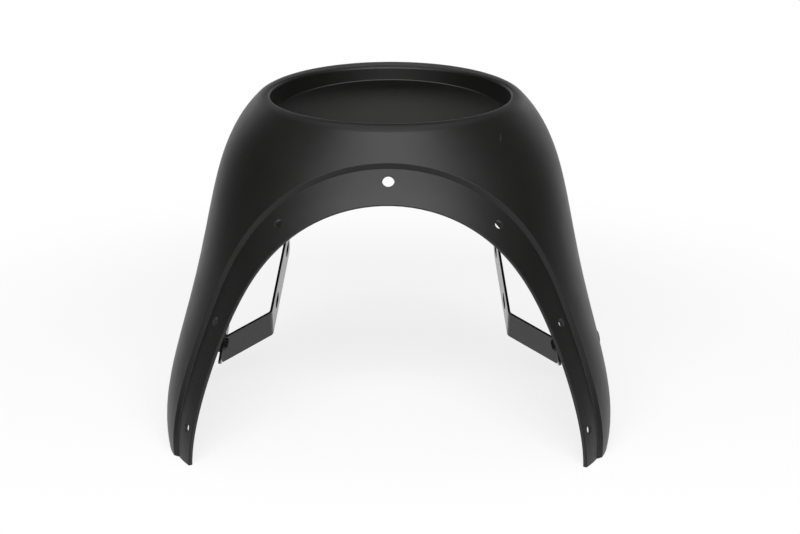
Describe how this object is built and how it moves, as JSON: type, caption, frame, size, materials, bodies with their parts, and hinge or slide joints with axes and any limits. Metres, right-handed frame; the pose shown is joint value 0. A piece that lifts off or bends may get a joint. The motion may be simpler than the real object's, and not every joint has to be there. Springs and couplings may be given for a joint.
{
  "type": "headlight cowl",
  "caption": "Moulded headlight cowl with a round opening, a joggled windscreen flange and bent strap brackets inside its legs.",
  "frame": {"origin": "on the headlight axis, where the straight wall of the headlight opening begins, just under the rolled rim", "axes": "+Z along the headlight axis, forward on the bike and up as the cowl stands here; -Y towards the windscreen flange; +X across"},
  "size_m": [0.3414, 0.2989, 0.243],
  "materials": {
    "cowl_plastic": "fine-textured satin black",
    "bracket_paint": "semi-gloss black paint",
    "spacer_plastic": "matt black",
    "screw_black": "black oxide"
  },
  "bodies": {
    "root": {"cowl_shell": "cowl_plastic", "bracket_left": "bracket_paint", "bracket_right": "bracket_paint", "bracket_spacers": "spacer_plastic", "bracket_screws": "screw_black"}
  },
  "joints": []
}
